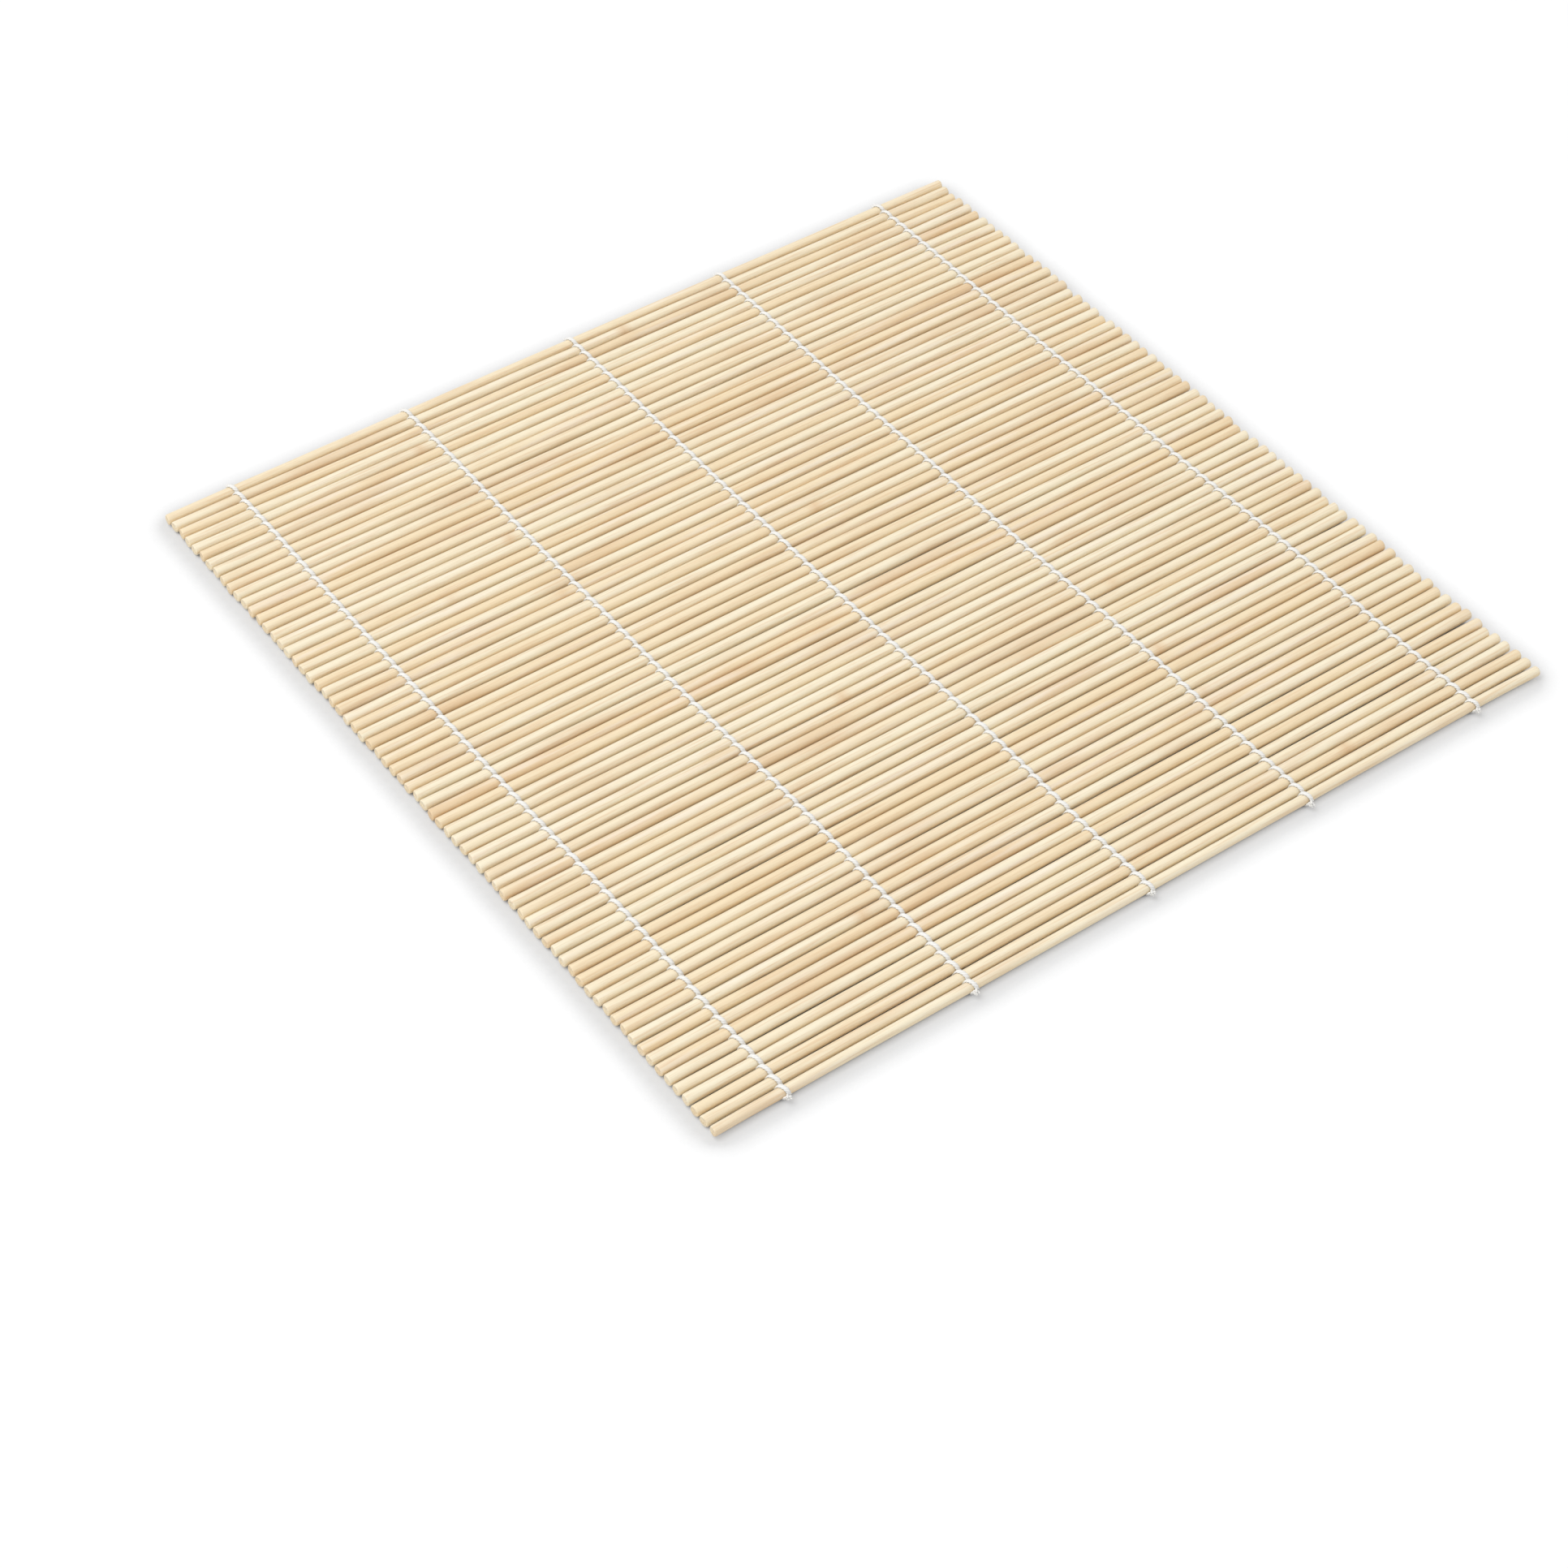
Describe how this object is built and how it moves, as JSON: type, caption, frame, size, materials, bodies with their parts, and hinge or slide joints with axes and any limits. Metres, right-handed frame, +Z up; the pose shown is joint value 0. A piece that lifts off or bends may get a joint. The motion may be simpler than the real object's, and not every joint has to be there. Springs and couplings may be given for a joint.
{
  "type": "sushi rolling mat",
  "caption": "Rolling mat of slim round bamboo sticks held side by side by twined cotton strings, which let it roll up from one edge.",
  "frame": {"origin": "on the surface that the mat lies on, under the middle of the flat mat", "axes": "+X along the sticks to their ragged right-hand ends, +Y from the near edge to the far edge, +Z up"},
  "size_m": [0.24, 0.2372, 0.0039],
  "materials": {
    "bamboo": "bare planed bamboo, satin, pale straw with tan patches",
    "cotton_string": "undyed white cotton, twisted, matt"
  },
  "bodies": {
    "row_01": {"sticks_01": "bamboo", "strings_01": "cotton_string", "knots_far": "cotton_string"},
    "row_02": {"sticks_02": "bamboo", "strings_02": "cotton_string"},
    "row_03": {"sticks_03": "bamboo", "strings_03": "cotton_string"},
    "row_04": {"sticks_04": "bamboo", "strings_04": "cotton_string"},
    "row_05": {"sticks_05": "bamboo", "strings_05": "cotton_string"},
    "row_06": {"sticks_06": "bamboo", "strings_06": "cotton_string"},
    "row_07": {"sticks_07": "bamboo", "strings_07": "cotton_string"},
    "row_08": {"sticks_08": "bamboo", "strings_08": "cotton_string"},
    "row_09": {"sticks_09": "bamboo", "strings_09": "cotton_string"},
    "row_10": {"sticks_10": "bamboo", "strings_10": "cotton_string"},
    "row_11": {"sticks_11": "bamboo", "strings_11": "cotton_string"},
    "row_12": {"sticks_12": "bamboo", "strings_12": "cotton_string"},
    "row_13": {"sticks_13": "bamboo", "strings_13": "cotton_string"},
    "row_14": {"sticks_14": "bamboo", "strings_14": "cotton_string"},
    "row_15": {"sticks_15": "bamboo", "strings_15": "cotton_string"},
    "row_16": {"sticks_16": "bamboo", "strings_16": "cotton_string"},
    "row_17": {"sticks_17": "bamboo", "strings_17": "cotton_string"},
    "row_18": {"sticks_18": "bamboo", "strings_18": "cotton_string"},
    "row_19": {"sticks_19": "bamboo", "strings_19": "cotton_string"},
    "row_20": {"sticks_20": "bamboo", "strings_20": "cotton_string"},
    "row_21": {"sticks_21": "bamboo", "strings_21": "cotton_string"},
    "row_22": {"sticks_22": "bamboo", "strings_22": "cotton_string"},
    "row_23": {"sticks_23": "bamboo", "strings_23": "cotton_string"},
    "row_24": {"sticks_24": "bamboo", "strings_24": "cotton_string"},
    "row_25": {"sticks_25": "bamboo", "strings_25": "cotton_string"},
    "row_26": {"sticks_26": "bamboo", "strings_26": "cotton_string"},
    "row_27": {"sticks_27": "bamboo", "strings_27": "cotton_string"},
    "row_28": {"sticks_28": "bamboo", "strings_28": "cotton_string"},
    "row_29": {"sticks_29": "bamboo", "strings_29": "cotton_string", "knots_near": "cotton_string"}
  },
  "joints": [
    {"name": "roll_01", "type": "hinge", "parent": "row_01", "child": "row_02", "pos_m": [0, 0.10687, 0.00222], "axis": [-1, 0, 0], "range_deg": [0, 25]},
    {"name": "roll_02", "type": "hinge", "parent": "row_02", "child": "row_03", "pos_m": [0, 0.09689, 0.00222], "axis": [-1, 0, 0], "range_deg": [0, 25.5]},
    {"name": "roll_03", "type": "hinge", "parent": "row_03", "child": "row_04", "pos_m": [0, 0.08682, 0.00222], "axis": [-1, 0, 0], "range_deg": [0, 26]},
    {"name": "roll_04", "type": "hinge", "parent": "row_04", "child": "row_05", "pos_m": [0, 0.0767, 0.00222], "axis": [-1, 0, 0], "range_deg": [0, 26.5]},
    {"name": "roll_05", "type": "hinge", "parent": "row_05", "child": "row_06", "pos_m": [0, 0.06658, 0.00222], "axis": [-1, 0, 0], "range_deg": [0, 27.1]},
    {"name": "roll_06", "type": "hinge", "parent": "row_06", "child": "row_07", "pos_m": [0, 0.05638, 0.00222], "axis": [-1, 0, 0], "range_deg": [0, 27.5]},
    {"name": "roll_07", "type": "hinge", "parent": "row_07", "child": "row_08", "pos_m": [0, 0.04633, 0.00222], "axis": [-1, 0, 0], "range_deg": [0, 27.6]},
    {"name": "roll_08", "type": "hinge", "parent": "row_08", "child": "row_09", "pos_m": [0, 0.03642, 0.00222], "axis": [-1, 0, 0], "range_deg": [0, 28.1]},
    {"name": "roll_09", "type": "hinge", "parent": "row_09", "child": "row_10", "pos_m": [0, 0.02635, 0.00222], "axis": [-1, 0, 0], "range_deg": [0, 28.8]},
    {"name": "roll_10", "type": "hinge", "parent": "row_10", "child": "row_11", "pos_m": [0, 0.01636, 0.00222], "axis": [-1, 0, 0], "range_deg": [0, 29.4]},
    {"name": "roll_11", "type": "hinge", "parent": "row_11", "child": "row_12", "pos_m": [0, 0.00627, 0.00222], "axis": [-1, 0, 0], "range_deg": [0, 30]},
    {"name": "roll_12", "type": "hinge", "parent": "row_12", "child": "row_13", "pos_m": [0, -0.00368, 0.00222], "axis": [-1, 0, 0], "range_deg": [0, 25.5]},
    {"name": "roll_13", "type": "hinge", "parent": "row_13", "child": "row_14", "pos_m": [0, -0.01039, 0.00222], "axis": [-1, 0, 0], "range_deg": [0, 20.8]},
    {"name": "roll_14", "type": "hinge", "parent": "row_14", "child": "row_15", "pos_m": [0, -0.01704, 0.00222], "axis": [-1, 0, 0], "range_deg": [0, 20.9]},
    {"name": "roll_15", "type": "hinge", "parent": "row_15", "child": "row_16", "pos_m": [0, -0.0236, 0.00222], "axis": [-1, 0, 0], "range_deg": [0, 21.1]},
    {"name": "roll_16", "type": "hinge", "parent": "row_16", "child": "row_17", "pos_m": [0, -0.0302, 0.00222], "axis": [-1, 0, 0], "range_deg": [0, 21.7]},
    {"name": "roll_17", "type": "hinge", "parent": "row_17", "child": "row_18", "pos_m": [0, -0.03687, 0.00222], "axis": [-1, 0, 0], "range_deg": [0, 22.3]},
    {"name": "roll_18", "type": "hinge", "parent": "row_18", "child": "row_19", "pos_m": [0, -0.04365, 0.00222], "axis": [-1, 0, 0], "range_deg": [0, 22.8]},
    {"name": "roll_19", "type": "hinge", "parent": "row_19", "child": "row_20", "pos_m": [0, -0.05038, 0.00222], "axis": [-1, 0, 0], "range_deg": [0, 23]},
    {"name": "roll_20", "type": "hinge", "parent": "row_20", "child": "row_21", "pos_m": [0, -0.05703, 0.00222], "axis": [-1, 0, 0], "range_deg": [0, 23.5]},
    {"name": "roll_21", "type": "hinge", "parent": "row_21", "child": "row_22", "pos_m": [0, -0.06375, 0.00222], "axis": [-1, 0, 0], "range_deg": [0, 24.2]},
    {"name": "roll_22", "type": "hinge", "parent": "row_22", "child": "row_23", "pos_m": [0, -0.07053, 0.00222], "axis": [-1, 0, 0], "range_deg": [0, 24.7]},
    {"name": "roll_23", "type": "hinge", "parent": "row_23", "child": "row_24", "pos_m": [0, -0.07723, 0.00222], "axis": [-1, 0, 0], "range_deg": [0, 25.1]},
    {"name": "roll_24", "type": "hinge", "parent": "row_24", "child": "row_25", "pos_m": [0, -0.08394, 0.00222], "axis": [-1, 0, 0], "range_deg": [0, 25.6]},
    {"name": "roll_25", "type": "hinge", "parent": "row_25", "child": "row_26", "pos_m": [0, -0.09059, 0.00222], "axis": [-1, 0, 0], "range_deg": [0, 26.2]},
    {"name": "roll_26", "type": "hinge", "parent": "row_26", "child": "row_27", "pos_m": [0, -0.09729, 0.00222], "axis": [-1, 0, 0], "range_deg": [0, 26.7]},
    {"name": "roll_27", "type": "hinge", "parent": "row_27", "child": "row_28", "pos_m": [0, -0.10384, 0.00222], "axis": [-1, 0, 0], "range_deg": [0, 27.2]},
    {"name": "roll_28", "type": "hinge", "parent": "row_28", "child": "row_29", "pos_m": [0, -0.11047, 0.00222], "axis": [-1, 0, 0], "range_deg": [0, 28]}
  ],
  "couplings": [
    {"joint": "roll_02", "follows": "roll_01", "ratio": 1.014},
    {"joint": "roll_03", "follows": "roll_01", "ratio": 1.038},
    {"joint": "roll_04", "follows": "roll_01", "ratio": 1.057},
    {"joint": "roll_05", "follows": "roll_01", "ratio": 1.08},
    {"joint": "roll_06", "follows": "roll_01", "ratio": 1.096},
    {"joint": "roll_07", "follows": "roll_01", "ratio": 1.1},
    {"joint": "roll_08", "follows": "roll_01", "ratio": 1.121},
    {"joint": "roll_09", "follows": "roll_01", "ratio": 1.148},
    {"joint": "roll_10", "follows": "roll_01", "ratio": 1.173},
    {"joint": "roll_11", "follows": "roll_01", "ratio": 1.196},
    {"joint": "roll_12", "follows": "roll_01", "ratio": 1.016},
    {"joint": "roll_13", "follows": "roll_01", "ratio": 0.827},
    {"joint": "roll_14", "follows": "roll_01", "ratio": 0.831},
    {"joint": "roll_15", "follows": "roll_01", "ratio": 0.841},
    {"joint": "roll_16", "follows": "roll_01", "ratio": 0.863},
    {"joint": "roll_17", "follows": "roll_01", "ratio": 0.89},
    {"joint": "roll_18", "follows": "roll_01", "ratio": 0.91},
    {"joint": "roll_19", "follows": "roll_01", "ratio": 0.918},
    {"joint": "roll_20", "follows": "roll_01", "ratio": 0.935},
    {"joint": "roll_21", "follows": "roll_01", "ratio": 0.964},
    {"joint": "roll_22", "follows": "roll_01", "ratio": 0.984},
    {"joint": "roll_23", "follows": "roll_01", "ratio": 1},
    {"joint": "roll_24", "follows": "roll_01", "ratio": 1.02},
    {"joint": "roll_25", "follows": "roll_01", "ratio": 1.044},
    {"joint": "roll_26", "follows": "roll_01", "ratio": 1.063},
    {"joint": "roll_27", "follows": "roll_01", "ratio": 1.086},
    {"joint": "roll_28", "follows": "roll_01", "ratio": 1.115}
  ]
}
